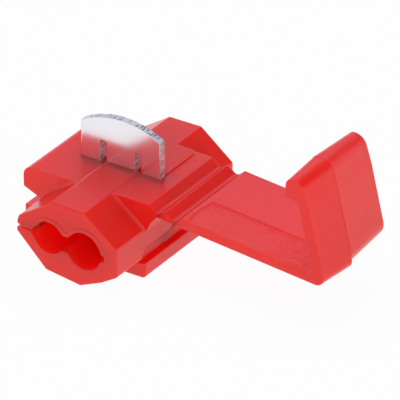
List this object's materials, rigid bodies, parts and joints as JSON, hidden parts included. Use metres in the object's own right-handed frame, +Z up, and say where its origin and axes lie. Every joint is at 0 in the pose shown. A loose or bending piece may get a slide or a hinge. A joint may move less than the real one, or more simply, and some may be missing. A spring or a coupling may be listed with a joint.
{
  "type": "t-tap connector",
  "caption": "Quick-splice tap connector: red moulded housing with side-entry and end-entry wire bores, film-hinged cover with snap hook, and a slotted contact blade standing ready to press.",
  "frame": {"origin": "on the flat base, midway between the two wire bores and at half length", "axes": "+X from the housing to the open cover, +Y along the wires away from the tap wire's mouth, +Z up to the blade"},
  "size_m": [0.0336, 0.0202, 0.0159],
  "materials": {
    "moulding": "waxy semi-gloss, slightly translucent red polypropylene",
    "contact": "bright tin plate over stamped brass, sheared edges"
  },
  "bodies": {
    "housing": {"housing": "moulding"},
    "hinge_bar": {"hinge_bar": "moulding"},
    "cover": {"cover": "moulding"},
    "contact_blade": {"contact_blade": "contact"}
  },
  "joints": [
    {"name": "lower_hinge", "type": "hinge", "parent": "housing", "child": "hinge_bar", "pos_m": [0.00707, 0, 0.00733], "axis": [0, -1, 0], "range_deg": [0, 74]},
    {"name": "upper_hinge", "type": "hinge", "parent": "hinge_bar", "child": "cover", "pos_m": [0.00896, 0, 0.0071], "axis": [0, -1, 0], "range_deg": [0, 74]},
    {"name": "blade_press", "type": "slide", "parent": "housing", "child": "contact_blade", "axis": [0, 0, -1], "range_m": [0, 0.005]}
  ],
  "couplings": [
    {"joint": "lower_hinge", "follows": "blade_press", "rad_per_m": 258.31},
    {"joint": "upper_hinge", "follows": "blade_press", "rad_per_m": 258.31}
  ]
}
